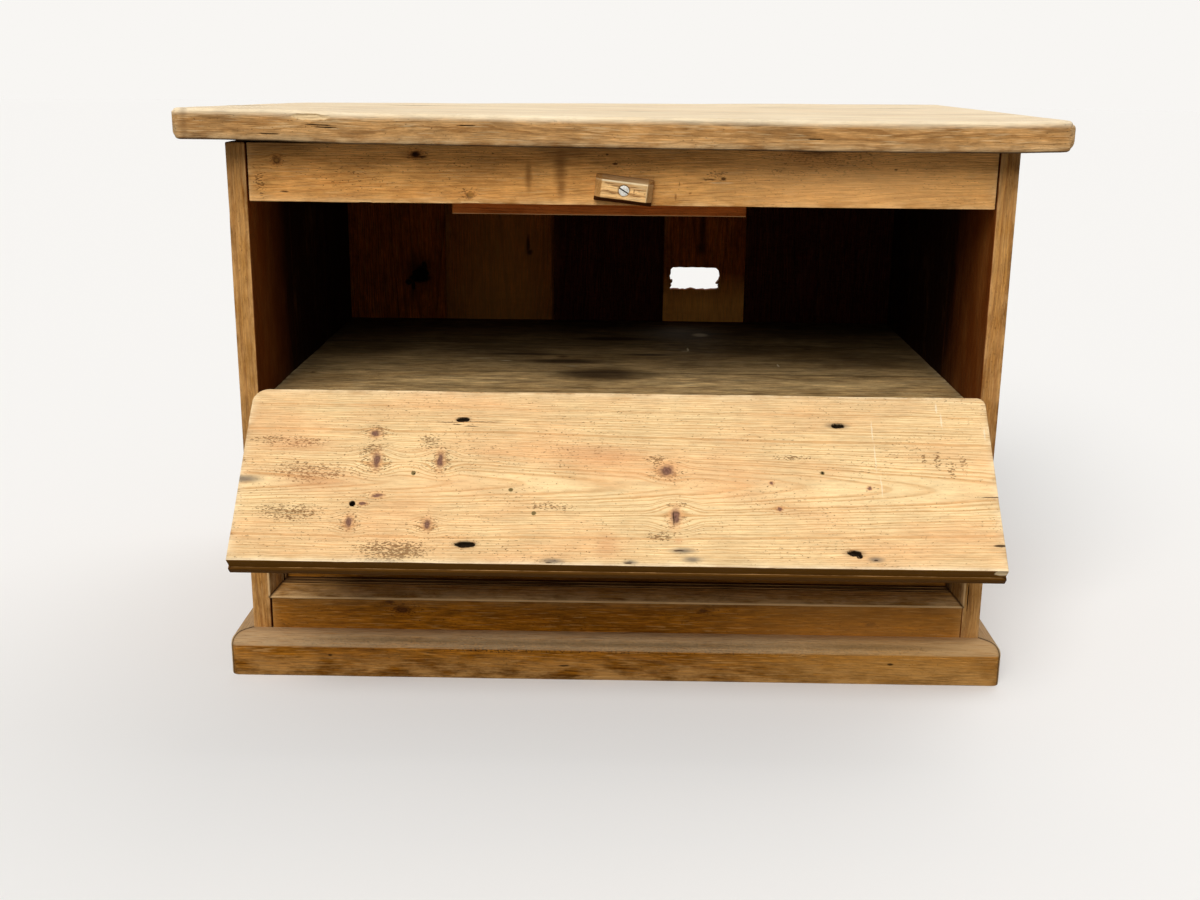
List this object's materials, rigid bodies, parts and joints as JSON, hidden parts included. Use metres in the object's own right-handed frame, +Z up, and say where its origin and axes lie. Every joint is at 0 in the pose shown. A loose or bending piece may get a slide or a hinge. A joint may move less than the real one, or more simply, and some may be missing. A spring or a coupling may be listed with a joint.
{
  "type": "bakers cabinet",
  "caption": "Low plank cabinet on a moulded plinth with a thick overhanging top, a drop-down flap held by a turn button, and a framed lower panel.",
  "frame": {"origin": "on the floor under the middle of the whole box, open flap included", "axes": "+X to the viewer's right along the width, the front faces -Y, +Z up"},
  "size_m": [0.959, 0.7768, 0.66],
  "materials": {
    "top_pine": "worn waxed pine, scratched",
    "carcass_pine": "waxed honey-coloured pine",
    "button_wood": "worn waxed softwood",
    "inside_pine": "bare, greyed and stained pine",
    "back_pine": "bare darkened pine",
    "flap_pine": "pale stripped pine",
    "plinth_pine": "worn waxed pine",
    "hinge_steel": "dull steel, a little rust",
    "zinc_screw": "dull zinc plate",
    "iron_nail": "rusted iron"
  },
  "bodies": {
    "carcass": {"top_front_plank": "top_pine", "top_middle_plank": "top_pine", "top_back_plank": "top_pine", "side_left_front_plank": "carcass_pine", "side_left_middle_plank": "carcass_pine", "side_left_back_plank": "carcass_pine", "side_right_front_plank": "carcass_pine", "side_right_middle_plank": "carcass_pine", "side_right_back_plank": "carcass_pine", "top_rail": "carcass_pine", "stop_batten": "carcass_pine", "mid_rail": "carcass_pine", "bottom_rail": "carcass_pine", "flap_rest_moulding": "carcass_pine", "lower_panel_board_bottom": "carcass_pine", "lower_panel_board_top": "carcass_pine", "panel_moulding_bottom": "carcass_pine", "panel_moulding_left": "carcass_pine", "panel_moulding_top": "carcass_pine", "panel_moulding_right": "carcass_pine", "shelf_front_plank": "inside_pine", "shelf_middle_plank": "inside_pine", "shelf_back_plank": "inside_pine", "floor_front_board": "inside_pine", "floor_middle_board": "inside_pine", "floor_back_board": "inside_pine", "shelf_bearer_left": "inside_pine", "shelf_bearer_right": "inside_pine", "floor_bearer_left": "inside_pine", "floor_bearer_right": "inside_pine", "top_cleat_left": "inside_pine", "top_cleat_right": "inside_pine", "top_back_rail": "inside_pine", "back_board_1": "back_pine", "back_board_2": "back_pine", "back_board_3": "back_pine", "back_board_4": "back_pine", "back_board_5": "back_pine", "back_board_6": "back_pine", "plinth_front": "plinth_pine", "plinth_left": "plinth_pine", "plinth_right": "plinth_pine", "hinge_left_fixed_leaf": "hinge_steel", "hinge_right_fixed_leaf": "hinge_steel", "hinge_left_pin": "hinge_steel", "hinge_right_pin": "hinge_steel", "hinge_shelf_screws": "hinge_steel", "turn_button_screw": "zinc_screw", "back_board_nails": "iron_nail", "plinth_nails": "iron_nail"},
    "flap": {"flap_board": "flap_pine", "flap_frame_bottom": "flap_pine", "flap_frame_left": "flap_pine", "flap_frame_top": "flap_pine", "flap_frame_right": "flap_pine", "hinge_left_moving_leaf": "hinge_steel", "hinge_right_moving_leaf": "hinge_steel", "hinge_flap_screws": "hinge_steel", "flap_frame_nails": "iron_nail"},
    "turn_button": {"turn_button": "button_wood"}
  },
  "joints": [
    {"name": "flap_hinge", "type": "hinge", "parent": "carcass", "child": "flap", "pos_m": [0, -0.21529, 0.33025], "axis": [-1, 0, 0], "range_deg": [0, 135]},
    {"name": "turn_button_pivot", "type": "hinge", "parent": "carcass", "child": "turn_button", "pos_m": [0.003, -0.22059, 0.576], "axis": [0, 1, 0], "continuous": true}
  ]
}
